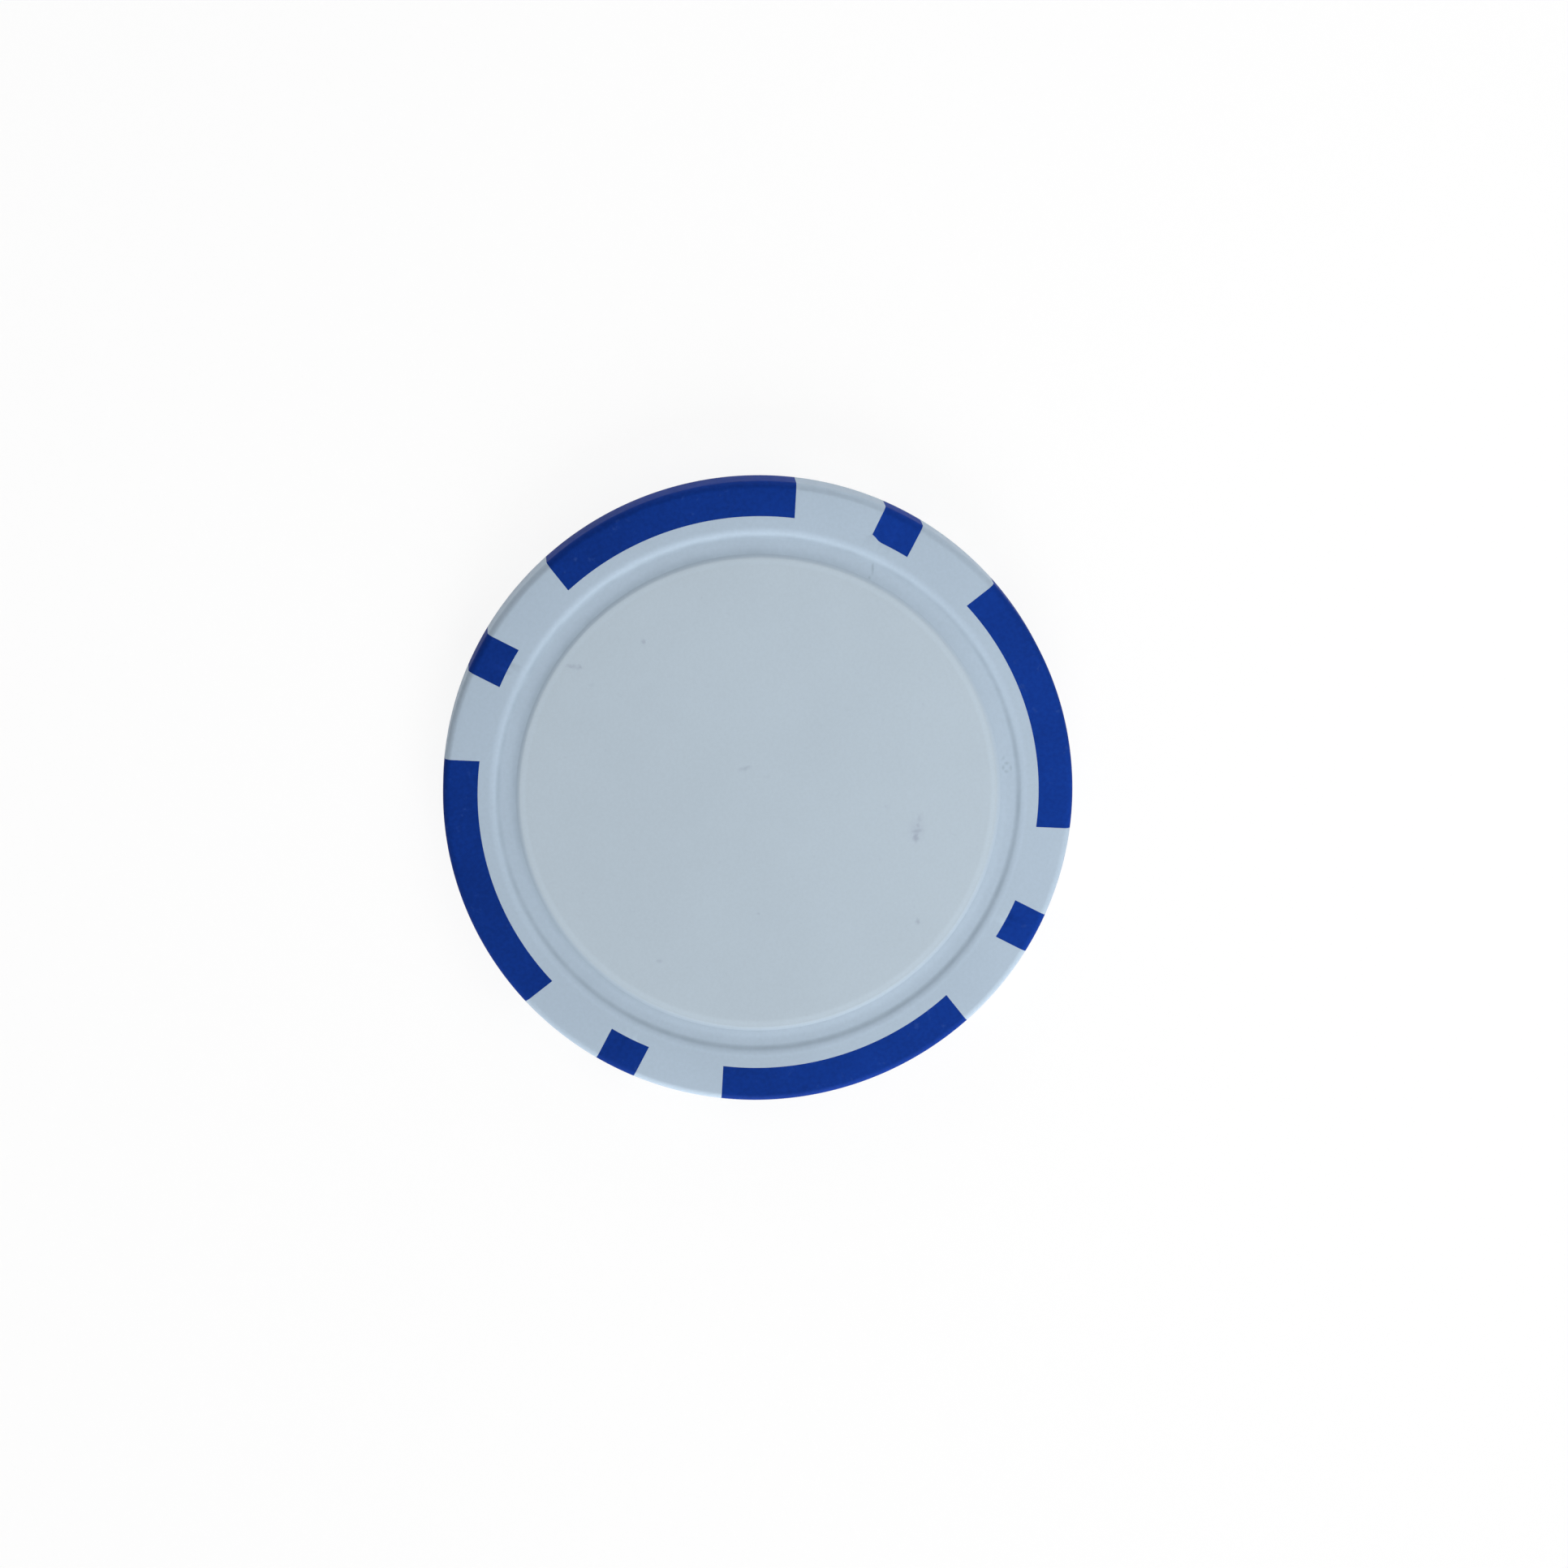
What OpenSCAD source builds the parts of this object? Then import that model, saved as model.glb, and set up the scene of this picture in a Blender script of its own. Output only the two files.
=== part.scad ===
// Weighted poker chip: white moulded body, blue edge stripes, blank inlays and a steel slug inside.
// The chip lies flat with the middle of its lower face at the origin and +Z through its faces.

/* [Chip] */
// Diameter over the rolling edge
chip_d = 39; // [30:0.5:50]
// Thickness from rim to rim
chip_t = 3.3; // [2.8:0.1:5]
// Rounding of the rolling edge
edge_r = 0.45; // [0.2:0.05:1.2]

/* [Stripes] */
// Depth of every stripe, in from the rolling edge
stripe_depth = 2.14; // [1.6:0.02:3]
// Angle that a long stripe covers at the middle of its depth
long_stripe_angle = 49.2; // [30:0.2:60]
// Lean of a long stripe's ends, from radial towards parallel
long_end_lean = 4; // [0:0.5:20]
// Width of a short stripe, which has parallel sides
short_stripe_w = 2.6; // [1.5:0.1:4]

/* [Stripe keys] */
// How far a stripe's hidden key reaches in past the stripe
key_reach = 0.8; // [0.4:0.1:1.2]
// How far the key spreads past each end of the stripe
key_wing = 0.8; // [0.3:0.1:1.5]
// White plastic between the key and each face
key_cover = 1.05; // [0.7:0.05:1.2]
// White plastic between the key's wings and the rolling edge
key_edge = 1.4; // [0.8:0.1:1.6]

/* [Face pockets] */
// Width of the plain rim between the stripes and the pocket
plain_rim_w = 0.95; // [0.6:0.05:2]
// Depth of the pocket in each face
pocket_depth = 0.15; // [0.1:0.01:0.4]
// Width of the pocket's sloping wall, seen from above
pocket_slope_w = 0.38; // [0.1:0.02:0.6]
// Width of the bare pocket floor around the inlay
groove_w = 1.02; // [0.6:0.02:2]

/* [Inlays] */
// How deep the inlay is let into the pocket's floor
inlay_seat = 0.2; // [0.1:0.05:0.4]
// How far the inlay's face lies below the rim
inlay_drop = 0.01; // [0:0.01:0.1]
// Width of the inlay's sloping edge, seen from above
inlay_slope_w = 0.3; // [0.1:0.02:0.6]

/* [Weight slug] */
// Plastic between the slug and the inlay
slug_cover = 0.5; // [0.3:0.05:0.8]
// Plastic between the slug and the stripe keys
slug_wall = 1.3; // [0.8:0.1:3]
// Distance of the posts through the slug from its edge
post_inset = 6; // [4:0.5:9]
// Diameter of the plastic posts that run through the slug
post_d = 3.6; // [2:0.2:5]
// Number of posts
post_count = 6; // [3:1:8]

/* [Hidden] */
$fn = 96;

body_colour = [0.68, 0.74, 0.80];
stripe_colour = [0.09, 0.23, 0.56];
inlay_colour = [0.70, 0.76, 0.80];
slug_colour = [0.55, 0.56, 0.58];

stripe_count = 4;
stripe_step = 360 / stripe_count;
// How far a cutting shape runs past what it cuts
past = 1;

chip_r = chip_d / 2;
stripe_inner_r = chip_r - stripe_depth;
stripe_mid_r = chip_r - stripe_depth / 2;
long_half_angle = long_stripe_angle / 2;
short_half_angle = asin(short_stripe_w / 2 / stripe_mid_r);

key_inner_r = stripe_inner_r - key_reach;
key_outer_r = chip_r - key_edge;

pocket_lip_r = stripe_inner_r - plain_rim_w;
pocket_floor_r = pocket_lip_r - pocket_slope_w;
inlay_r = pocket_floor_r - groove_w;
seat_depth = pocket_depth + inlay_seat;

slug_r = key_inner_r - slug_wall;
slug_z = seat_depth + slug_cover;
slug_t = chip_t - 2 * slug_z;

// Half of the chip's plain section, with both corners of the rolling edge rounded
module chip_section() {
    square([chip_r - edge_r, chip_t]);
    translate([0, edge_r]) square([chip_r, chip_t - 2 * edge_r]);
    for (z = [edge_r, chip_t - edge_r])
        translate([chip_r - edge_r, z]) circle(edge_r);
}

// The whole chip as one plain disc, before anything is let into it
module chip_disc() {
    rotate_extrude() chip_section();
}

// Pocket in the upper face, with a sloping wall and a seat for the inlay in its floor
module pocket() {
    slope = pocket_slope_w / pocket_depth;
    rotate_extrude() polygon([
        [0, chip_t - seat_depth],
        [inlay_r, chip_t - seat_depth],
        [inlay_r, chip_t - pocket_depth],
        [pocket_floor_r, chip_t - pocket_depth],
        [pocket_lip_r + slope * past, chip_t + past],
        [0, chip_t + past]
    ]);
}

// Turns what lies on the front face over to the back face
module to_back() {
    translate([0, 0, chip_t]) mirror([0, 0, 1]) children();
}

// A point on a stripe's end line: run along it from mid-depth, and spread beyond it
function end_point(half_angle, lean, run, spread) =
    stripe_mid_r * [cos(half_angle), sin(half_angle)]
    + run * [cos(half_angle - lean), sin(half_angle - lean)]
    + spread * [-sin(half_angle - lean), cos(half_angle - lean)];

function across(point) = [point.x, -point.y];

// Flat ring between two radii, cut off at a stripe's two end lines
module stripe_outline(half_angle, lean, spread, inner_r, outer_r) {
    inner_end = end_point(half_angle, lean, inner_r - stripe_mid_r - past, spread);
    outer_end = end_point(half_angle, lean, chip_r, spread);
    intersection() {
        difference() {
            circle(outer_r);
            circle(inner_r);
        }
        polygon([inner_end, outer_end, across(outer_end), across(inner_end)]);
    }
}

// The space that a stripe fills: a block through both faces, and the key between them
module stripe_space(half_angle, lean) {
    translate([0, 0, -past])
        linear_extrude(chip_t + 2 * past)
            stripe_outline(half_angle, lean, 0, stripe_inner_r, chip_r + past);
    translate([0, 0, key_cover])
        linear_extrude(chip_t - 2 * key_cover)
            stripe_outline(half_angle, lean, key_wing, key_inner_r, key_outer_r);
}

module long_space(i) {
    rotate(stripe_step * (i - 1)) stripe_space(long_half_angle, long_end_lean);
}

module short_space(i) {
    rotate(stripe_step * (i - 1 / 2)) stripe_space(short_half_angle, short_half_angle);
}

module slug_disc() {
    translate([0, 0, slug_z]) difference() {
        cylinder(r = slug_r, h = slug_t);
        for (i = [1:post_count])
            rotate(360 / post_count * i)
                translate([slug_r - post_inset, 0, -past]) cylinder(d = post_d, h = slug_t + 2 * past);
    }
}

// Inlay in the front pocket's seat, with a sloping edge above the pocket's floor
module inlay_disc() {
    rotate_extrude() polygon([
        [0, chip_t - seat_depth],
        [inlay_r, chip_t - seat_depth],
        [inlay_r, chip_t - pocket_depth],
        [inlay_r - inlay_slope_w, chip_t - inlay_drop],
        [0, chip_t - inlay_drop]
    ]);
}

// White moulding that holds everything else
module chip_body() {
    color(body_colour) difference() {
        chip_disc();
        pocket();
        to_back() pocket();
        for (i = [1:stripe_count]) {
            long_space(i);
            short_space(i);
        }
        slug_disc();
    }
}

module weight_slug() {
    color(slug_colour) slug_disc();
}

module front_inlay() {
    color(inlay_colour) inlay_disc();
}

module back_inlay() {
    color(inlay_colour) to_back() inlay_disc();
}

module long_stripe(i) {
    color(stripe_colour) intersection() {
        chip_disc();
        long_space(i);
    }
}

module short_stripe(i) {
    color(stripe_colour) intersection() {
        chip_disc();
        short_space(i);
    }
}

chip_body();
weight_slug();
front_inlay();
back_inlay();
for (i = [1:stripe_count]) {
    long_stripe(i);
    short_stripe(i);
}
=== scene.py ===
import math

import bmesh
import bpy
from mathutils import Matrix, Vector


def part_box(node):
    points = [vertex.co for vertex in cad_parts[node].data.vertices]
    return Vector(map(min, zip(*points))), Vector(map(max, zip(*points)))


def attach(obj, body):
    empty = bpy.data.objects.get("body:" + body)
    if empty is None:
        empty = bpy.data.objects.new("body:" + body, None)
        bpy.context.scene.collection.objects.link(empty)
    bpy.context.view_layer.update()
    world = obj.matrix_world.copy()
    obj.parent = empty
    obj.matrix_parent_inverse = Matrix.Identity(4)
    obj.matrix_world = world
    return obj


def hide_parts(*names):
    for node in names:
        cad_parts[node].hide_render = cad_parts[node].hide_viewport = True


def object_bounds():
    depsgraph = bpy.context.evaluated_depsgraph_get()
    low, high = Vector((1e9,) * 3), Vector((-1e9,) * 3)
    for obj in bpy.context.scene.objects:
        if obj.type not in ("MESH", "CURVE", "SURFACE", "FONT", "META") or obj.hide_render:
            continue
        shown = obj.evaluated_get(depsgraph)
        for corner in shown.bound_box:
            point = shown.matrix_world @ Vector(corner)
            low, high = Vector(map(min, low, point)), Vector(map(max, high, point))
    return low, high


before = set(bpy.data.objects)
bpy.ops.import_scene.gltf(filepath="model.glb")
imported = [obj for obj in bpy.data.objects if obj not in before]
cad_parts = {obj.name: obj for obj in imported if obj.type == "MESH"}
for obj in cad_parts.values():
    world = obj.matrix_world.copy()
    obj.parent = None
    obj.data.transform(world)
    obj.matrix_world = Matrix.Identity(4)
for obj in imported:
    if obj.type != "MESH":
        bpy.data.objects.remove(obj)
cad_low, cad_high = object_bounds()
inlay_low, inlay_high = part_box("front_inlay")

MM = 0.001
FULL_TURN = 2 * math.pi

# Chip sizes, in metres: the outer ones come from the frame
CHIP_R = cad_high.x
CHIP_T = cad_high.z
INLAY_R = inlay_high.x
INLAY_FACE_Z = inlay_high.z
SEAT_Z = inlay_low.z

EDGE_ROUND = 0.45 * MM
STRIPE_DEPTH = 2.14 * MM
PLAIN_RIM_W = 0.95 * MM
POCKET_DEPTH = 0.15 * MM
POCKET_SLOPE_W = 0.38 * MM
LIP_ROUND = 1.20 * MM
FLOOR_ROUND = 0.80 * MM
GROOVE_DIP_W = 0.43 * MM
GROOVE_ROUND = 2.5 * MM
INLAY_FOOT_DEPTH = 0.098 * MM
INLAY_SLOPE_W = 0.245 * MM
INLAY_ROUND = 0.45 * MM
CROWN_W = 0.42 * MM
CROWN_DROP = 0.020 * MM
CROWN_ROUND = 4.0 * MM
SEAM_BEVEL = 0.010 * MM
SEAM_SEGMENTS = 2
SEAM_ANGLE = math.radians(60)

STRIPE_INNER_R = CHIP_R - STRIPE_DEPTH
STRIPE_MID_R = CHIP_R - STRIPE_DEPTH / 2
POCKET_LIP_R = STRIPE_INNER_R - PLAIN_RIM_W
POCKET_FLOOR_R = POCKET_LIP_R - POCKET_SLOPE_W

# Stripes: four long ones on the axes, four short ones between them
STRIPE_PAIRS = 4
LONG_STRIPE_ANGLE = math.radians(49.2)
LONG_HALF_ANGLE = LONG_STRIPE_ANGLE / 2
LONG_END_LEAN = math.radians(4)
SHORT_STRIPE_W = 2.6 * MM
SHORT_HALF_ANGLE = math.asin(SHORT_STRIPE_W / 2 / STRIPE_MID_R)

# Mesh fineness, in steps
LONG_STEPS = 48
SHORT_STEPS = 10
GAP_STEPS = 16
ROUND_STEPS = 7
EDGE_STEPS = 12
INLAY_RINGS = 6
WELD = 1e-8
SHARP_ANGLE = math.radians(32)

# One corner of the first short stripe was pushed out of place as it was moulded
FLOW_RADIUS = STRIPE_INNER_R
FLOW_ANGLE = FULL_TURN / STRIPE_PAIRS / 2 + math.asin(SHORT_STRIPE_W / 2 / STRIPE_INNER_R)
FLOW_OUTWARD = 0.26 * MM
FLOW_SIDEWAYS = -0.06 * MM
FLOW_REACH = 0.42 * MM

# Colours as linear light
BODY_COLOUR = (0.4135, 0.511, 0.6155, 1.0)
# Painted shade for the groove's creases and the inlay's edge, and also the colour of the real marks in the
# groove
SHADE_AND_DIRT_COLOUR = (0.258, 0.334, 0.410, 1.0)
STRIPE_COLOUR = (0.0046, 0.0332, 0.2370, 1.0)
STRIPE_WORN_COLOUR = (0.030, 0.075, 0.300, 1.0)
INLAY_COLOUR = (0.4575, 0.543, 0.6185, 1.0)
SCUFF_COLOUR = (0.265, 0.295, 0.405, 1.0)
STEEL_COLOUR = (0.460, 0.460, 0.470, 1.0)
FLOOR_COLOUR = (0.980, 0.980, 0.980, 1.0)
WHITE = (1.0, 1.0, 1.0, 1.0)

# Where the photograph shows the chip, in its own pixels and degrees
PHOTO_SIZE = 1932
CHIP_CENTRE_X = 934.8
CHIP_CENTRE_Y = 978.6
CHIP_RADIUS_PX = 388.6
PATTERN_TURN = math.radians(18.0)
NEAR_SIDE = math.radians(104.6)
VIEW_TILT = math.radians(11)
LENS = 150.0
SENSOR = 36.0
NEAREST_SEEN = 0.01


# Shapes

def mould_flow(point):
    """Moves points close to the displaced stripe corner, in the stripe and the body alike."""
    outward = Vector((math.cos(FLOW_ANGLE), math.sin(FLOW_ANGLE), 0))
    sideways = Vector((-outward.y, outward.x, 0))
    away = Vector((point.x, point.y, 0)) - outward * FLOW_RADIUS
    share = math.exp(-(away.length / FLOW_REACH) ** 2)
    return point + (outward * FLOW_OUTWARD + sideways * FLOW_SIDEWAYS) * share


def at(radius, angle, height):
    return Vector((radius * math.cos(angle), radius * math.sin(angle), height))


def spread(start, end, steps):
    """Evenly spaced values from start to end, both included."""
    return [start + (end - start) * k / steps for k in range(steps + 1)]


def rounded_corner(before, corner, after, radius, steps):
    """Points of the arc that rounds one corner of a profile of (radius, height) points."""
    to_before = (before - corner).normalized()
    to_after = (after - corner).normalized()
    half = to_before.angle(to_after) / 2
    centre = corner + (to_before + to_after).normalized() * radius / math.sin(half)
    first = corner + to_before * radius / math.tan(half) - centre
    last = corner + to_after * radius / math.tan(half) - centre
    start = math.atan2(first.y, first.x)
    sweep = math.remainder(math.atan2(last.y, last.x) - start, FULL_TURN)
    return [
        centre + radius * Vector((math.cos(a), math.sin(a)))
        for a in spread(start, start + sweep, steps)
    ]


def turned_over(profile):
    """The same profile on the back face, in the order that carries on from the front one."""
    return [Vector((p.x, CHIP_T - p.y)) for p in reversed(profile)]


class Draft:
    """Points and faces of one piece. Points that fall together are joined."""

    def __init__(self):
        self.points = []
        self.numbers = {}
        self.faces = []

    def number(self, point):
        spot = mould_flow(point)
        key = tuple(round(value / WELD) for value in spot)
        if key not in self.numbers:
            self.numbers[key] = len(self.points)
            self.points.append(spot)
        return self.numbers[key]

    def grid(self, rows, closed=False):
        """Faces between rows of points, joined round from last to first where closed."""
        numbered = [[self.number(p) for p in row] for row in rows]
        for low, high in zip(numbered, numbered[1:]):
            count = len(low) if closed else len(low) - 1
            for k in range(count):
                after = (k + 1) % len(low)
                loop = dict.fromkeys((low[k], low[after], high[after], high[k]))
                if len(loop) > 2:
                    self.faces.append(tuple(loop))

    def piece(self, name, material, node, slot):
        """Makes the object, which stands for a CAD node and rides on the chip."""
        mesh = bpy.data.meshes.new(name)
        mesh.from_pydata(self.points, [], self.faces)
        shape = bmesh.new()
        shape.from_mesh(mesh)
        bmesh.ops.recalc_face_normals(shape, faces=shape.faces)
        shape.to_mesh(mesh)
        shape.free()
        mesh.shade_smooth()
        mesh.set_sharp_from_angle(angle=SHARP_ANGLE)
        mesh.materials.append(material)
        piece = bpy.data.objects.new(name, mesh)
        bpy.context.scene.collection.objects.link(piece)
        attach(piece, "root")
        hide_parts(node)
        return piece


class Stripe:
    """Where one stripe lies in the rim."""

    def __init__(self, name, middle, half_angle, lean, steps):
        self.name = name
        self.middle = middle
        self.half_angle = half_angle
        self.lean = lean
        self.steps = steps

    def end(self, side, radius):
        """Angle at which one of the stripe's two straight ends crosses a radius."""
        off_axis = STRIPE_MID_R * math.sin(self.lean)
        half = self.half_angle - self.lean + math.asin(off_axis / radius)
        return self.middle + side * half

    def angles(self, radius):
        return spread(self.end(-1, radius), self.end(1, radius), self.steps)

    def gap_angles(self, following, radius):
        """Angles across the white gap between this stripe and the following one."""
        end = following.end(-1, radius)
        if following.middle < self.middle:
            end += FULL_TURN
        return spread(self.end(1, radius), end, GAP_STEPS)


def all_stripes():
    """Long and short stripes by turns, in order round the chip."""
    stripes = []
    for i in range(STRIPE_PAIRS):
        middle = FULL_TURN * i / STRIPE_PAIRS
        between = middle + FULL_TURN / STRIPE_PAIRS / 2
        long_name = f"long_stripe_{i + 1}"
        short_name = f"short_stripe_{i + 1}"
        stripes.append(Stripe(long_name, middle, LONG_HALF_ANGLE, LONG_END_LEAN, LONG_STEPS))
        stripes.append(Stripe(short_name, between, SHORT_HALF_ANGLE, SHORT_HALF_ANGLE, SHORT_STEPS))
    return stripes


def face_profile():
    """Front face from the axis to where the stripes begin: pocket floor, sloping wall and lip."""
    axis = Vector((0, SEAT_Z))
    seat_corner = Vector((INLAY_R, SEAT_Z))
    seat_lip = Vector((INLAY_R, CHIP_T - INLAY_FOOT_DEPTH))
    dip = Vector((INLAY_R + GROOVE_DIP_W, CHIP_T - POCKET_DEPTH))
    floor_end = Vector((POCKET_FLOOR_R, CHIP_T - POCKET_DEPTH))
    lip = Vector((POCKET_LIP_R, CHIP_T))
    rim = Vector((STRIPE_INNER_R, CHIP_T))
    profile = [axis, seat_corner, seat_lip]
    profile += rounded_corner(seat_lip, dip, floor_end, GROOVE_ROUND, ROUND_STEPS)
    profile += rounded_corner(dip, floor_end, lip, FLOOR_ROUND, ROUND_STEPS)
    profile += rounded_corner(floor_end, lip, rim, LIP_ROUND, ROUND_STEPS)
    return profile + [rim]


def rim_profile():
    """Front half of the rim, from where the stripes begin to the rolling edge."""
    start = Vector((STRIPE_INNER_R, CHIP_T))
    corner = Vector((CHIP_R, CHIP_T))
    middle = Vector((CHIP_R, CHIP_T / 2))
    return [start] + rounded_corner(start, corner, middle, EDGE_ROUND, EDGE_STEPS) + [middle]


def end_wall(draft, stripe, side):
    """Flat wall between a stripe and the body, through the chip from face to face."""
    front = rim_profile()
    back = [Vector((p.x, CHIP_T - p.y)) for p in front]
    draft.grid([[at(p.x, stripe.end(side, p.x), p.y) for p in half] for half in (front, back)])


def inner_wall(draft, stripe):
    """Curved wall between a stripe and the plain rim."""
    angles = stripe.angles(STRIPE_INNER_R)
    draft.grid([[at(STRIPE_INNER_R, a, z) for a in angles] for z in (CHIP_T, 0)])


def bevel_seams(piece):
    """Takes the sharpness off the edges where two colours of plastic meet."""
    bevel = piece.modifiers.new("seam", "BEVEL")
    bevel.width = SEAM_BEVEL
    bevel.segments = SEAM_SEGMENTS
    bevel.limit_method = "ANGLE"
    bevel.angle_limit = SEAM_ANGLE


def make_body(stripes, material):
    draft = Draft()
    pairs = list(zip(stripes, stripes[1:] + stripes[:1]))
    ring_angles = []
    for stripe, following in pairs:
        ring_angles += stripe.angles(STRIPE_INNER_R)[:-1]
        ring_angles += stripe.gap_angles(following, STRIPE_INNER_R)[:-1]

    front = face_profile()
    for profile in (front, turned_over(front)):
        draft.grid([[at(p.x, a, p.y) for a in ring_angles] for p in profile], closed=True)

    rim = rim_profile()
    rim += turned_over(rim)
    for stripe, following in pairs:
        draft.grid([[at(p.x, a, p.y) for a in stripe.gap_angles(following, p.x)] for p in rim])
        inner_wall(draft, stripe)
        end_wall(draft, stripe, 1)
        end_wall(draft, stripe, -1)
    bevel_seams(draft.piece("white_body", material, "chip_body", "body_plastic"))


def make_stripe(stripe, material):
    draft = Draft()
    rim = rim_profile()
    rim += turned_over(rim)
    draft.grid([[at(p.x, a, p.y) for a in stripe.angles(p.x)] for p in rim])
    inner_wall(draft, stripe)
    end_wall(draft, stripe, 1)
    end_wall(draft, stripe, -1)
    bevel_seams(draft.piece(f"blue_{stripe.name}", material, stripe.name, "stripe_plastic"))


def inlay_profile():
    """Front inlay from the middle of its face round to the middle of its underside."""
    middle = Vector((0, INLAY_FACE_Z))
    corner = Vector((INLAY_R - INLAY_SLOPE_W, INLAY_FACE_Z - CROWN_DROP))
    crown = Vector((corner.x - CROWN_W, INLAY_FACE_Z))
    foot = Vector((INLAY_R, CHIP_T - INLAY_FOOT_DEPTH))
    seat_corner = Vector((INLAY_R, SEAT_Z))
    under = Vector((0, SEAT_Z))
    profile = [Vector((r, INLAY_FACE_Z)) for r in spread(0, crown.x, INLAY_RINGS)[:-1]]
    profile += rounded_corner(middle, crown, corner, CROWN_ROUND, ROUND_STEPS)
    profile += rounded_corner(crown, corner, foot, INLAY_ROUND, ROUND_STEPS)
    return profile + [foot, seat_corner, under]


def make_inlay(name, node, profile, material):
    draft = Draft()
    steps = STRIPE_PAIRS * (LONG_STEPS + SHORT_STEPS + 2 * GAP_STEPS)
    angles = spread(0, FULL_TURN, steps)[:-1]
    draft.grid([[at(p.x, a, p.y) for a in angles] for p in profile], closed=True)
    draft.piece(name, material, node, "inlay_plastic")


# Materials

# How noise is used, and the sockets of the node that mixes colours
NOISE_RANGE = (0.3, 0.7)
NOISE_MIDDLE = (0.5, 0.5, 0.5)
NOISE_DETAIL = 3.0
GRAIN_RANGE = (0.25, 0.75)
GRAIN_DETAIL = 2.0
DENT_SIZE = 1.2 * MM
RELIEF_DEPTH = 0.002 * MM
USUAL_SPECULAR = 0.5
MIX_FIRST = 6
MIX_SECOND = 7
MIX_RESULT = 2


class Recipe:
    """A material being put together from nodes, in the chip's own coordinates."""

    def __init__(self, name):
        self.material = bpy.data.materials.new(name)
        self.material.use_nodes = True
        self.tree = self.material.node_tree
        self.shader = self.tree.nodes["Principled BSDF"]
        self.place = self.add("ShaderNodeTexCoord").outputs["Object"]

    def add(self, kind, inputs=None, **settings):
        """Adds a node, with its settings, and its inputs as numbers or as other nodes' outputs."""
        node = self.tree.nodes.new(kind)
        for key, value in settings.items():
            setattr(node, key, value)
        for key, value in (inputs or {}).items():
            self.feed(node.inputs[key], value)
        return node

    def feed(self, socket, value):
        if isinstance(value, bpy.types.NodeSocket):
            self.tree.links.new(value, socket)
        else:
            socket.default_value = value

    def math(self, operation, first, second=0.0):
        return self.add("ShaderNodeMath", {0: first, 1: second}, operation=operation).outputs[0]

    def noise(self, size, detail=NOISE_DETAIL, place=None):
        """Noise from 0 to 1, with blobs of about the given size in metres."""
        inputs = {"Vector": place or self.place, "Scale": 1 / size, "Detail": detail}
        return self.add("ShaderNodeTexNoise", inputs).outputs["Fac"]

    def ramp(self, value, low, high, at_low=0.0, at_high=1.0):
        """Turns the range low to high of a value smoothly into another range."""
        inputs = {0: value, 1: low, 2: high, 3: at_low, 4: at_high}
        node = self.add("ShaderNodeMapRange", inputs, interpolation_type="SMOOTHSTEP")
        return node.outputs[0]

    def spread_out(self, noise, at_low, at_high):
        """Stretches the middle of the noise's range over another range."""
        return self.ramp(noise, *NOISE_RANGE, at_low, at_high)

    def mottle(self, cloud, cloud_change, grain_size, grain_change):
        """Brightness that drifts in clouds and flickers in grain, and the grain itself."""
        clouds = self.spread_out(self.noise(cloud), 1 - cloud_change, 1 + cloud_change)
        grain = self.noise(grain_size, GRAIN_DETAIL)
        flicker = self.ramp(grain, *GRAIN_RANGE, 1 - grain_change, 1 + grain_change)
        return self.math("MULTIPLY", clouds, flicker), grain

    def mix(self, share, first, second):
        """Colour between two colours."""
        node = self.add("ShaderNodeMix", data_type="RGBA")
        self.feed(node.inputs["Factor"], share)
        self.feed(node.inputs[MIX_FIRST], first)
        self.feed(node.inputs[MIX_SECOND], second)
        return node.outputs[MIX_RESULT]

    def dim(self, colour, amount):
        """A colour times a number."""
        node = self.add("ShaderNodeVectorMath", operation="SCALE")
        self.feed(node.inputs[0], colour[:3] if isinstance(colour, tuple) else colour)
        self.feed(node.inputs["Scale"], amount)
        return node.outputs[0]

    def radius(self):
        """Distance from the chip's axis."""
        flat = self.add("ShaderNodeVectorMath", {0: self.place, 1: (1, 1, 0)}, operation="MULTIPLY")
        return self.add("ShaderNodeVectorMath", {0: flat.outputs[0]}, operation="LENGTH").outputs[1]

    def side(self, angle):
        """Runs from 0 to 1 across the chip, and is 1 at the rim on the side at an angle."""
        along = (math.cos(angle), math.sin(angle), 0)
        reach = self.add("ShaderNodeVectorMath", {0: self.place, 1: along}, operation="DOT_PRODUCT")
        return self.ramp(reach.outputs[1], -CHIP_R, CHIP_R)

    def near(self, value, target, reach):
        """1 where a value is at its target, falling to 0 at a reach away from it."""
        off = self.math("ABSOLUTE", self.math("SUBTRACT", value, target))
        return self.ramp(off, 0.0, reach, 1.0, 0.0)

    def mark(self, centre, size, turn, place):
        """1 in the middle of an oval mark on the front face, falling to 0 at its rim."""
        inputs = {
            "Vector": place,
            "Location": (centre[0] * MM, centre[1] * MM, CHIP_T),
            "Rotation": (0, 0, turn),
            "Scale": (size[0] * MM, size[1] * MM, MM),
        }
        inside = self.add("ShaderNodeMapping", inputs, vector_type="TEXTURE").outputs[0]
        far = self.add("ShaderNodeVectorMath", {0: inside}, operation="LENGTH").outputs[1]
        return self.ramp(far, 0.0, 1.0, 1.0, 0.0)

    def marks(self, marks, place, under=0.0):
        """The strongest of a list of marks at each point, over what is already there."""
        strongest = under
        for centre, size, turn, strength in marks:
            spot = self.math("MULTIPLY", self.mark(centre, size, turn, place), strength)
            strongest = self.math("MAXIMUM", spot, strongest)
        return strongest

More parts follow.
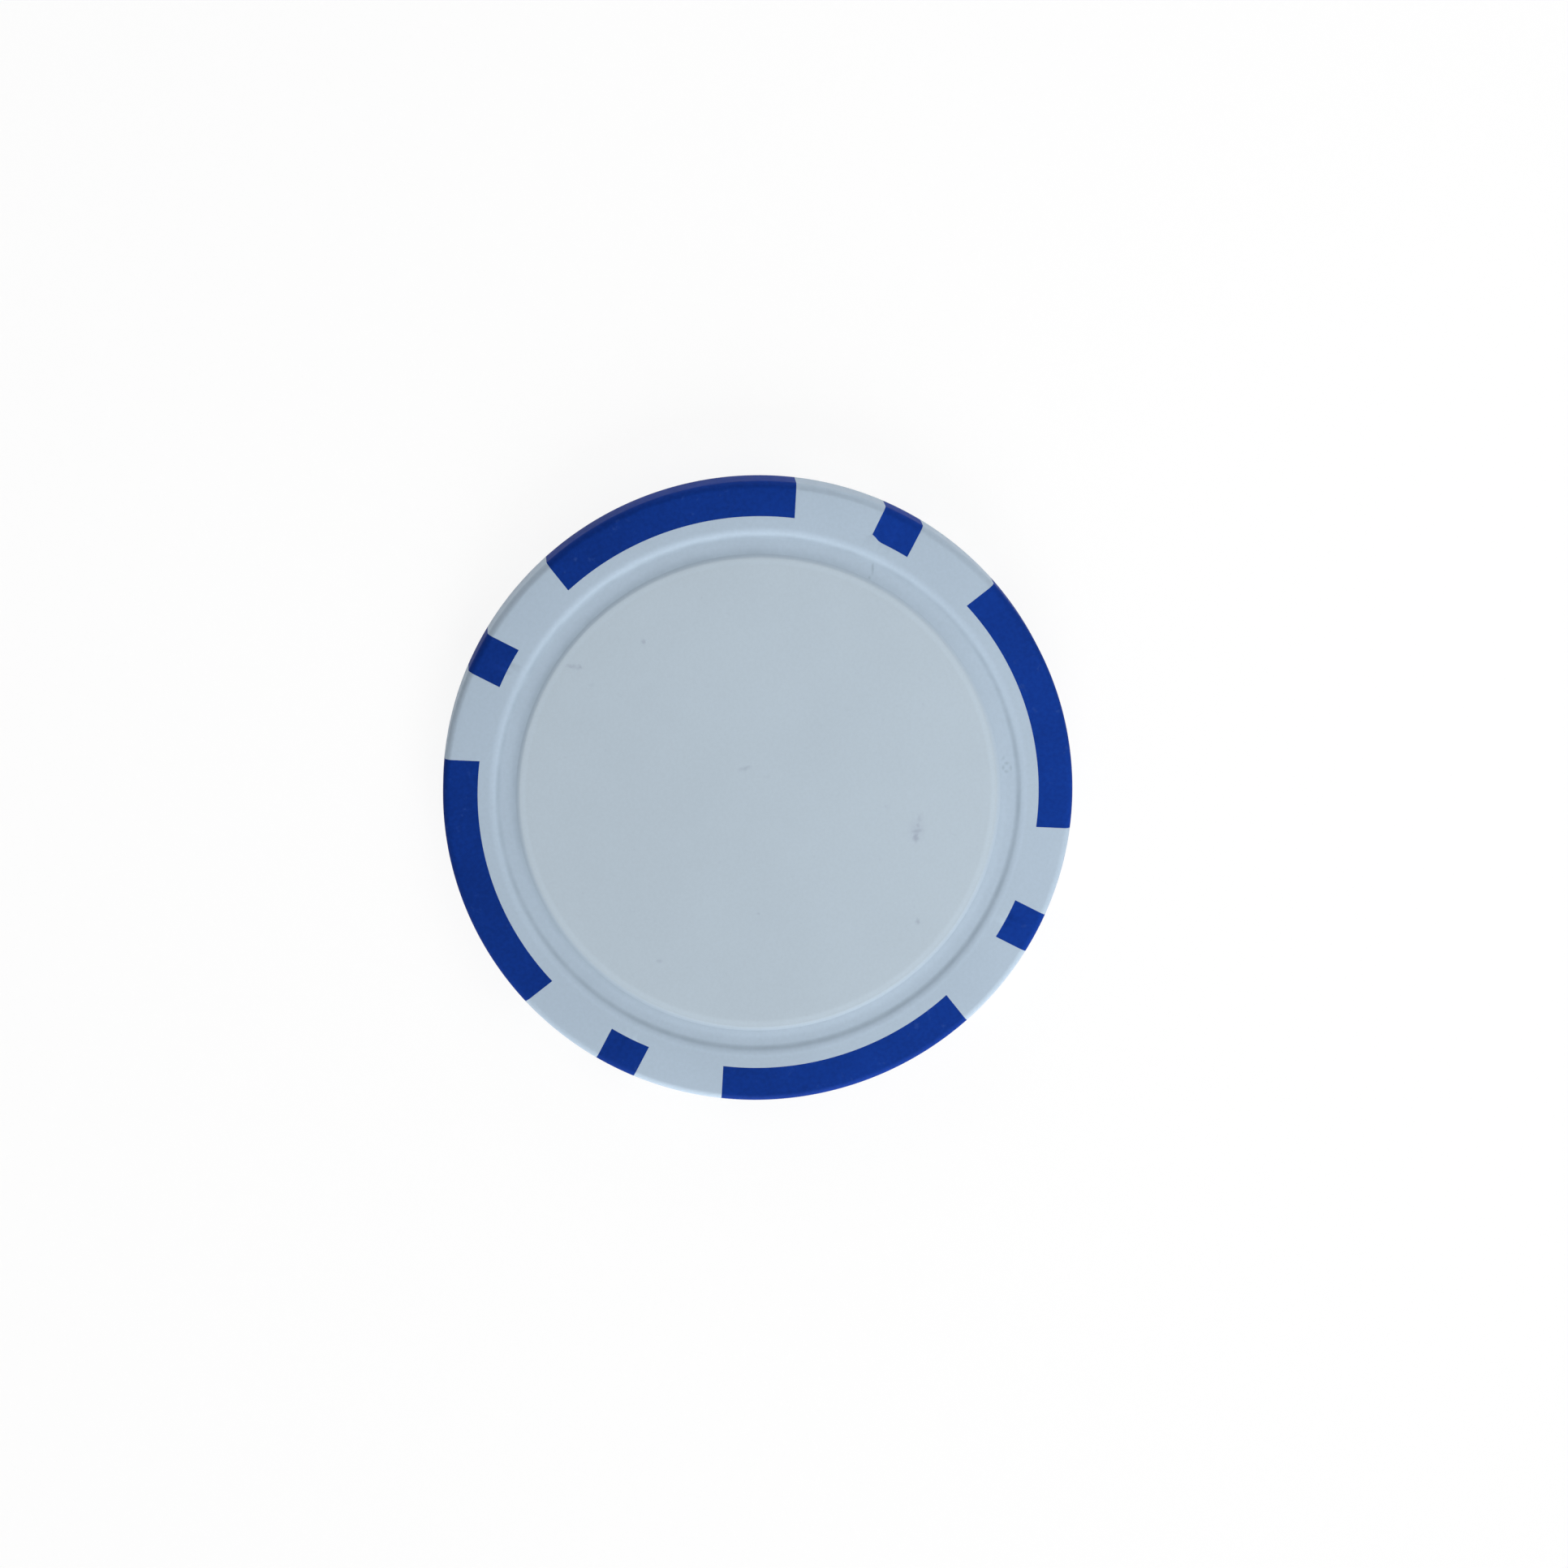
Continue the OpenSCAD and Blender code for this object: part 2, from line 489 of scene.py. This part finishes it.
    def ragged(self, size, amount):
        """The chip's coordinates, shaken by noise so that marks get uneven edges."""
        inputs = {"Vector": self.place, "Scale": 1 / size}
        shake = self.add("ShaderNodeTexNoise", inputs).outputs["Color"]
        middle = self.add("ShaderNodeVectorMath", {0: shake, 1: NOISE_MIDDLE}, operation="SUBTRACT")
        moved = self.dim(middle.outputs[0], amount)
        return self.add("ShaderNodeVectorMath", {0: self.place, 1: moved}, operation="ADD").outputs[0]

    def bump(self, height, depth):
        """Surface relief of the given depth in metres."""
        inputs = {"Height": height, "Strength": 1.0, "Distance": depth}
        return self.add("ShaderNodeBump", inputs).outputs["Normal"]

    def finish(self, colour, roughness, normal, specular=USUAL_SPECULAR):
        self.shader.inputs["Specular IOR Level"].default_value = specular
        self.feed(self.shader.inputs["Base Color"], colour)
        self.feed(self.shader.inputs["Roughness"], roughness)
        self.feed(self.shader.inputs["Normal"], normal)
        return self.material


# Marks that the photograph shows: centre and half size in millimetres, turn, and strength
# Side away from the light, where the painted shade in the groove is darkest
SHADED_SIDE = math.radians(142)
# Painted shade: the stripes are darker towards this side and lighter on the other, as the light falls
STRIPE_SHADED_SIDE = math.radians(168)
GROOVE_MARKS = [
    ((10.95, 11.30), (0.72, 0.13), math.radians(67), 0.65),
    ((10.56, 10.77), (0.24, 0.20), math.radians(69), 0.60),
    ((15.20, -2.92), (0.24, 0.17), math.radians(-18), 0.50),
    ((14.92, -3.12), (0.26, 0.17), math.radians(72), 0.50),
    ((15.04, -3.40), (0.24, 0.17), math.radians(-18), 0.50),
    ((15.35, -3.28), (0.26, 0.15), math.radians(72), 0.40),
    ((15.08, -2.54), (0.26, 0.16), math.radians(30), 0.35),
]
INLAY_MARKS = [
    ((8.47, -5.61), (0.55, 0.30), math.radians(72), 0.55),
    ((8.65, -5.27), (0.62, 0.22), math.radians(-10), 0.50),
    ((8.81, -4.92), (0.28, 0.26), 0.0, 0.40),
    ((9.03, -4.56), (0.50, 0.26), math.radians(66), 0.25),
    ((8.63, -5.18), (1.00, 0.75), math.radians(72), 0.16),
    ((-8.10, 11.00), (0.26, 0.24), math.radians(-32), 0.50),
    ((-8.50, 11.20), (0.60, 0.18), math.radians(-25), 0.36),
    ((-3.85, 11.32), (0.24, 0.24), 0.0, 0.42),
    ((-0.35, 1.80), (0.60, 0.20), math.radians(2), 0.35),
    ((6.98, -10.70), (0.18, 0.32), math.radians(-17), 0.45),
    ((-9.04, -8.13), (0.30, 0.16), math.radians(-20), 0.30),
    ((-2.29, -7.17), (0.20, 0.14), math.radians(-20), 0.25),
]
STRIPE_MARKS = [
    ((-6.28, 17.46), (0.20, 0.16), 0.0, 0.60),
]

# White plastic
BODY_CLOUD = 5 * MM
BODY_CLOUD_CHANGE = 0.015
BODY_GRAIN = 0.22 * MM
BODY_GRAIN_CHANGE = 0.02
BODY_SHEEN_PATCH = 0.9 * MM
BODY_ROUGHNESS = (0.51, 0.55)
BODY_SPECULAR = 0.15
# Painted shade in the groove's two creases, at the inlay's foot and at the floor's outer corner, made patchy;
# the inner one is strongest on the side away from the light
CREASE_SHADE_PATCH = 1.6 * MM
CREASE_SHADE_PATCH_RANGE = (0.35, 0.7)
CREASE_SHADE_SHARE = (0.26, 0.42)
INNER_CREASE_SHADE_R = INLAY_R - 0.05 * MM
INNER_CREASE_SHADE_REACH = 0.45 * MM
INNER_CREASE_SHADE_SHARE = (0.05, 1.05)
OUTER_CREASE_SHADE_R = POCKET_FLOOR_R + 0.08 * MM
OUTER_CREASE_SHADE_REACH = 0.25 * MM
GROOVE_SHAKE_SIZE = 0.4 * MM
GROOVE_SHAKE = 0.12 * MM
# A lighter ring along the groove's lip
LIP_BRIGHTENING_R = POCKET_LIP_R + 0.04 * MM
LIP_BRIGHTENING_REACH = 0.40 * MM
LIP_BRIGHTENING = 1.06

# Blue plastic
STRIPE_CLOUD = 4 * MM
STRIPE_CLOUD_CHANGE = 0.05
STRIPE_GRAIN = 0.25 * MM
STRIPE_GRAIN_CHANGE = 0.08
STRIPE_SHEEN_PATCH = 0.8 * MM
STRIPE_ROUGHNESS = (0.54, 0.59)
STRIPE_SPECULAR = 0.03
# Painted shade across the stripes, from lighter on one side to darker on the other
STRIPE_SIDE_SHADE_TONES = (1.11, 0.92)
STRIPE_SHAKE_SIZE = 0.2 * MM
STRIPE_SHAKE = 0.2 * MM
RUB_SIZE = 0.6 * MM
RUB_DETAIL = 6.0
RUB_RANGE = (0.62, 0.80)
RUB_SHARE = 0.5

# Blank inlay
INLAY_CLOUD = 7 * MM
INLAY_CLOUD_CHANGE = 0.012
INLAY_GRAIN = 0.18 * MM
INLAY_GRAIN_CHANGE = 0.015
INLAY_SHEEN_PATCH = 1.1 * MM
INLAY_ROUGHNESS = (0.60, 0.63)
INLAY_SPECULAR = 0.15
INLAY_SHAKE_SIZE = 0.25 * MM
INLAY_SHAKE = 0.30 * MM
TINT_START_R = INLAY_R - 0.35 * MM
TINT_FULL_R = INLAY_R + 0.05 * MM
FAINT_SIZE = 0.5 * MM
FAINT_DETAIL = 5.0
FAINT_RANGE = (0.66, 0.80)
FAINT_SHARE = 0.12
# A lighter ring on the inlay's shoulder
SHOULDER_R = INLAY_R - INLAY_SLOPE_W - 0.22 * MM
SHOULDER_REACH = 0.30 * MM
SHOULDER_BRIGHTENING = 1.05
# Painted shade along the inlay's edge: none on the lit side, strongest on the side away from the light
EDGE_SHADE_R = INLAY_R - 0.05 * MM
EDGE_SHADE_REACH = 0.22 * MM
EDGE_SHADE_SHARE = 0.38

# Steel
STREAK_SIZE = 0.15 * MM
STREAK_STRETCH = (0.05, 1, 1)
STREAK_TONES = (0.88, 1.06)
STEEL_ROUGHNESS = (0.30, 0.45)
STEEL_RELIEF = 0.003 * MM


def body_material():
    """White moulded plastic: satin, finely grained, with painted shade in the groove's corners, darkest on
    the side away from the light, real marks in the groove and a lighter ring along the lip.
    """
    recipe = Recipe("white_moulded_plastic")
    tone, grain = recipe.mottle(BODY_CLOUD, BODY_CLOUD_CHANGE, BODY_GRAIN, BODY_GRAIN_CHANGE)
    colour = recipe.dim(BODY_COLOUR, tone)

    radius = recipe.radius()
    # Painted shade in the groove's creases, strongest on the side away from the light, with the groove's real
    # marks laid over it
    shade_side_share = recipe.ramp(recipe.side(SHADED_SIDE), 0.0, 1.0, *INNER_CREASE_SHADE_SHARE)
    inner = recipe.math("MULTIPLY", recipe.near(radius, INNER_CREASE_SHADE_R, INNER_CREASE_SHADE_REACH), shade_side_share)
    corners = recipe.math("MAXIMUM", inner, recipe.near(radius, OUTER_CREASE_SHADE_R, OUTER_CREASE_SHADE_REACH))
    patchy = recipe.ramp(recipe.noise(CREASE_SHADE_PATCH), *CREASE_SHADE_PATCH_RANGE)
    shade_and_marks = recipe.math("MULTIPLY", corners, recipe.ramp(patchy, 0.0, 1.0, *CREASE_SHADE_SHARE))
    shade_and_marks = recipe.marks(GROOVE_MARKS, recipe.ragged(GROOVE_SHAKE_SIZE, GROOVE_SHAKE), shade_and_marks)
    colour = recipe.mix(shade_and_marks, colour, SHADE_AND_DIRT_COLOUR)
    # Lighter along the lip
    lip = recipe.near(radius, LIP_BRIGHTENING_R, LIP_BRIGHTENING_REACH)
    colour = recipe.dim(colour, recipe.ramp(lip, 0.0, 1.0, 1.0, LIP_BRIGHTENING))

    roughness = recipe.spread_out(recipe.noise(BODY_SHEEN_PATCH), *BODY_ROUGHNESS)
    relief = recipe.math("ADD", grain, recipe.noise(DENT_SIZE))
    return recipe.finish(colour, roughness, recipe.bump(relief, RELIEF_DEPTH), BODY_SPECULAR)


def stripe_material():
    """Blue moulded plastic, with fine pale rubs from handling and painted shade that makes it darker towards
    one side.
    """
    recipe = Recipe("blue_moulded_plastic")
    tone, grain = recipe.mottle(STRIPE_CLOUD, STRIPE_CLOUD_CHANGE, STRIPE_GRAIN, STRIPE_GRAIN_CHANGE)
    # Painted shade: the stripes darken towards one side, as the light falls off
    side_shade = recipe.ramp(recipe.side(STRIPE_SHADED_SIDE), 0.0, 1.0, *STRIPE_SIDE_SHADE_TONES)
    colour = recipe.dim(STRIPE_COLOUR, recipe.math("MULTIPLY", tone, side_shade))
    rubs = recipe.ramp(recipe.noise(RUB_SIZE, RUB_DETAIL), *RUB_RANGE, 0.0, RUB_SHARE)
    worn = recipe.marks(STRIPE_MARKS, recipe.ragged(STRIPE_SHAKE_SIZE, STRIPE_SHAKE), rubs)
    colour = recipe.mix(worn, colour, STRIPE_WORN_COLOUR)
    roughness = recipe.spread_out(recipe.noise(STRIPE_SHEEN_PATCH), *STRIPE_ROUGHNESS)
    relief = recipe.math("ADD", grain, recipe.noise(DENT_SIZE))
    return recipe.finish(colour, roughness, recipe.bump(relief, RELIEF_DEPTH), STRIPE_SPECULAR)


def inlay_material():
    """Blank inlay: matt, a little warmer than the body, with the scuffs that the photograph shows, a lighter
    ring on its shoulder and painted shade along its edge on the side away from the light.
    """
    recipe = Recipe("blank_inlay")
    tone, grain = recipe.mottle(INLAY_CLOUD, INLAY_CLOUD_CHANGE, INLAY_GRAIN, INLAY_GRAIN_CHANGE)
    radius = recipe.radius()
    edge_tint = recipe.ramp(radius, TINT_START_R, TINT_FULL_R)
    colour = recipe.dim(recipe.mix(edge_tint, INLAY_COLOUR, BODY_COLOUR), tone)
    scuffs = recipe.marks(INLAY_MARKS, recipe.ragged(INLAY_SHAKE_SIZE, INLAY_SHAKE))
    faint = recipe.ramp(recipe.noise(FAINT_SIZE, FAINT_DETAIL), *FAINT_RANGE, 0.0, FAINT_SHARE)
    colour = recipe.mix(recipe.math("MAXIMUM", scuffs, faint), colour, SCUFF_COLOUR)
    # Lighter on the inlay's shoulder
    shoulder = recipe.near(radius, SHOULDER_R, SHOULDER_REACH)
    colour = recipe.dim(colour, recipe.ramp(shoulder, 0.0, 1.0, 1.0, SHOULDER_BRIGHTENING))
    # Painted shade along the inlay's edge, on the side away from the light
    shade_side_share = recipe.ramp(recipe.side(SHADED_SIDE), 0.0, 1.0, 0.0, EDGE_SHADE_SHARE)
    edge_shade = recipe.math("MULTIPLY", recipe.near(radius, EDGE_SHADE_R, EDGE_SHADE_REACH), shade_side_share)
    colour = recipe.mix(edge_shade, colour, SHADE_AND_DIRT_COLOUR)
    roughness = recipe.spread_out(recipe.noise(INLAY_SHEEN_PATCH), *INLAY_ROUGHNESS)
    relief = recipe.math("SUBTRACT", grain, scuffs)
    return recipe.finish(colour, roughness, recipe.bump(relief, RELIEF_DEPTH), INLAY_SPECULAR)


def steel_material():
    """Rolled steel of the hidden slug, with fine streaks along X."""
    recipe = Recipe("rolled_steel")
    stretched = recipe.add("ShaderNodeVectorMath", {0: recipe.place, 1: STREAK_STRETCH}, operation="MULTIPLY")
    streaks = recipe.noise(STREAK_SIZE, place=stretched.outputs[0])
    colour = recipe.dim(STEEL_COLOUR, recipe.spread_out(streaks, *STREAK_TONES))
    recipe.shader.inputs["Metallic"].default_value = 1.0
    roughness = recipe.spread_out(streaks, *STEEL_ROUGHNESS)
    return recipe.finish(colour, roughness, recipe.bump(streaks, STEEL_RELIEF))


# Stage, light and camera

FLOOR_FLAT_R = 1.4
FLOOR_CURVE_R = 0.5
FLOOR_WALL_TOP = 1.2
FLOOR_STEPS = 96
FLOOR_ROUGHNESS = 0.9
FLOOR_GLOW = 0.90
WORLD_LEVEL = 0.18


def image_direction(angle):
    """Direction on the table that points that way in the picture, 0 to the right and 90 up."""
    turned = angle - PATTERN_TURN
    return Vector((math.cos(turned), math.sin(turned), 0))


def floor_material():
    """Pale studio floor: partly lit by its own glow to the camera, so that it stays white."""
    recipe = Recipe("studio_floor")
    recipe.feed(recipe.shader.inputs["Base Color"], FLOOR_COLOUR)
    recipe.feed(recipe.shader.inputs["Roughness"], FLOOR_ROUGHNESS)
    recipe.feed(recipe.shader.inputs["Specular IOR Level"], 0.0)
    rays = recipe.add("ShaderNodeLightPath").outputs
    seen = recipe.math("MAXIMUM", rays["Is Camera Ray"],
                       recipe.math("MAXIMUM", rays["Is Glossy Ray"], rays["Is Transmission Ray"]))
    glow = recipe.add("ShaderNodeEmission", {"Color": WHITE, "Strength": 1.0})
    share = recipe.math("MULTIPLY", seen, FLOOR_GLOW)
    both = recipe.add("ShaderNodeMixShader",
                      {0: share, 1: recipe.shader.outputs[0], 2: glow.outputs[0]})
    output = recipe.tree.nodes["Material Output"]
    recipe.tree.links.new(both.outputs[0], output.inputs["Surface"])
    return recipe.material


def make_floor():
    """Round floor that curves up into a low wall all round."""
    flat_end = Vector((FLOOR_FLAT_R + FLOOR_CURVE_R, 0))
    top = Vector((FLOOR_FLAT_R + FLOOR_CURVE_R, FLOOR_WALL_TOP))
    profile = [Vector((0, 0)), Vector((FLOOR_FLAT_R / 2, 0))]
    profile += rounded_corner(profile[0], flat_end, top, FLOOR_CURVE_R, EDGE_STEPS)
    profile.append(top)
    draft = Draft()
    angles = spread(0, FULL_TURN, FLOOR_STEPS)[:-1]
    draft.grid([[at(p.x, a, p.y) for a in angles] for p in profile], closed=True)
    mesh = bpy.data.meshes.new("studio_floor")
    mesh.from_pydata(draft.points, [], draft.faces)
    mesh.shade_smooth()
    mesh.materials.append(floor_material())
    floor = bpy.data.objects.new("studio_floor", mesh)
    bpy.context.scene.collection.objects.link(floor)


def softbox(name, image_angle, elevation, distance, size, share):
    """Square lamp that gives the chip's face the given share of the full light level."""
    slope = math.radians(elevation)
    direction = image_direction(math.radians(image_angle)) * math.cos(slope)
    direction.z = math.sin(slope)
    lamp = bpy.data.lights.new(name, "AREA")
    lamp.shape = "SQUARE"
    lamp.size = size
    lamp.energy = share * math.pi ** 2 * distance ** 2 / math.sin(slope)
    holder = bpy.data.objects.new(name, lamp)
    holder.location = direction * distance
    holder.rotation_euler = direction.to_track_quat("Z", "Y").to_euler()
    holder.visible_camera = False
    bpy.context.scene.collection.objects.link(holder)


def make_light():
    """Three soft lamps, set by degrees, metres and shares, and an even glow from all round."""
    softbox("key_light", image_angle=278, elevation=21, distance=0.9, size=0.6, share=0.45)
    softbox("right_light", image_angle=10, elevation=60, distance=0.12, size=0.10, share=0.34)
    softbox("far_light", image_angle=88, elevation=14, distance=0.9, size=0.35, share=0.07)
    world = bpy.data.worlds.new("studio_world")
    world.use_nodes = True
    background = world.node_tree.nodes["Background"]
    background.inputs["Color"].default_value = WHITE
    background.inputs["Strength"].default_value = WORLD_LEVEL
    bpy.context.scene.world = world


def make_camera():
    """Looks down at the chip, leaning a little towards the side that shows at the picture's top."""
    pixel = CHIP_R / CHIP_RADIUS_PX
    distance = LENS / SENSOR * PHOTO_SIZE * pixel
    back = image_direction(NEAR_SIDE) * math.sin(VIEW_TILT)
    back.z = math.cos(VIEW_TILT)
    right = image_direction(0)
    right = (right - right.dot(back) * back).normalized()
    up = back.cross(right)
    aim = Vector((0, 0, CHIP_T))
    aim += right * (PHOTO_SIZE / 2 - CHIP_CENTRE_X) * pixel
    aim += up * (CHIP_CENTRE_Y - PHOTO_SIZE / 2) * pixel

    data = bpy.data.cameras.new("photo_camera")
    data.lens = LENS
    data.sensor_width = SENSOR
    data.clip_start = NEAREST_SEEN
    camera = bpy.data.objects.new("photo_camera", data)
    turn = Matrix((right, up, back)).transposed().to_4x4()
    camera.matrix_world = Matrix.Translation(aim + back * distance) @ turn
    bpy.context.scene.collection.objects.link(camera)
    bpy.context.scene.camera = camera


# The chip

stripes = all_stripes()
white = body_material()
blue = stripe_material()
blank = inlay_material()
make_body(stripes, white)
for stripe in stripes:
    make_stripe(stripe, blue)
front_inlay = inlay_profile()
make_inlay("blank_front_inlay", "front_inlay", front_inlay, blank)
make_inlay("blank_back_inlay", "back_inlay", turned_over(front_inlay), blank)

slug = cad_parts["weight_slug"]
slug.data.materials.clear()
slug.data.materials.append(steel_material())

make_floor()
make_light()
make_camera()
bpy.context.scene.view_settings.view_transform = "Standard"
